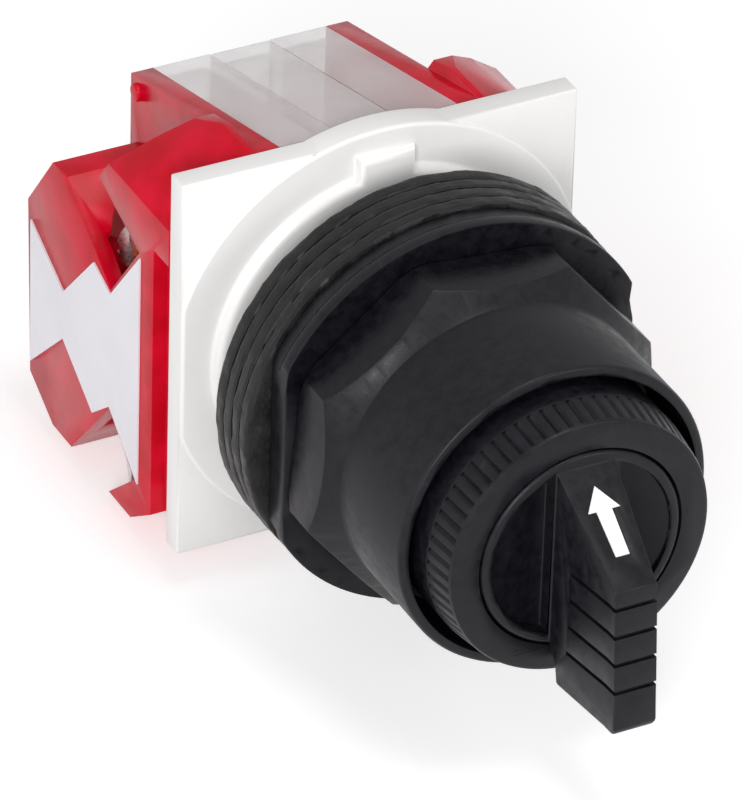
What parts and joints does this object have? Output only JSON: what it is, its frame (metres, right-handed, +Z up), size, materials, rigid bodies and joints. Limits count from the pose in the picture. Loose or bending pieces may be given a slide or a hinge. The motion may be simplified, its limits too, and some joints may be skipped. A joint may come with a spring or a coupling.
{
  "type": "selector switch",
  "caption": "Panel selector switch with a black lever knob and ring nut, a white square base plate and translucent red and clear contact blocks.",
  "frame": {"origin": "on the switch axis, at the front of the base plate's square", "axes": "+Y along the switch axis into the panel, +Z up when the pointer shows twelve o'clock, the knob faces -Y"},
  "size_m": [0.0447, 0.0924, 0.0499],
  "materials": {
    "white_plastic": "satin moulded plastic",
    "black_plastic": "fine grained moulded plastic",
    "rubber": "rough cut rubber",
    "arrow_white": "matt white inlay",
    "natural_plastic": "unfilled engineering plastic",
    "steel": "zinc plated",
    "red_plastic": "translucent red, glossy",
    "clear_plastic": "clear, glossy",
    "label_white": "printed film, bare",
    "brass": "plain"
  },
  "bodies": {
    "body": {"base_plate": "white_plastic", "barrel": "black_plastic", "thrust_washer": "black_plastic", "ring_nut": "black_plastic", "bezel": "black_plastic", "gasket_1": "rubber", "gasket_2": "rubber", "gasket_3": "rubber", "gasket_4": "rubber", "knob_seal": "rubber", "detent_plunger": "steel", "detent_spring": "steel", "left_return_spring": "steel", "right_return_spring": "steel", "left_wire_clamps": "steel", "right_wire_clamps": "steel", "left_terminal_screws": "steel", "right_terminal_screws": "steel", "block_screws": "steel", "left_housing": "red_plastic", "right_housing": "red_plastic", "left_cover": "clear_plastic", "right_cover": "clear_plastic", "centre_cover": "clear_plastic", "side_label": "label_white", "left_upper_contact": "brass", "left_lower_contact": "brass", "right_upper_contact": "brass", "right_lower_contact": "brass"},
    "knob": {"knob": "black_plastic", "pointer_arrow": "arrow_white", "shaft": "steel", "face_cam": "natural_plastic"},
    "left_push": {"left_follower": "natural_plastic", "left_plunger": "natural_plastic", "left_bridge": "brass"},
    "right_push": {"right_follower": "natural_plastic", "right_plunger": "natural_plastic", "right_bridge": "brass"}
  },
  "joints": [
    {"name": "knob_turn", "type": "hinge", "parent": "body", "child": "knob", "pos_m": [0, 0, 0], "axis": [0, 1, 0], "range_deg": [-45, 45]},
    {"name": "left_push_slide", "type": "slide", "parent": "body", "child": "left_push", "axis": [0, 1, 0], "range_m": [-0.0016, 0.0016], "deforming": ["left_return_spring"]},
    {"name": "right_push_slide", "type": "slide", "parent": "body", "child": "right_push", "axis": [0, 1, 0], "range_m": [-0.0016, 0.0016], "deforming": ["right_return_spring"]}
  ],
  "couplings": [
    {"joint": "left_push_slide", "follows": "knob_turn", "m_per_rad": 0.0019099},
    {"joint": "right_push_slide", "follows": "knob_turn", "m_per_rad": -0.0019099}
  ]
}
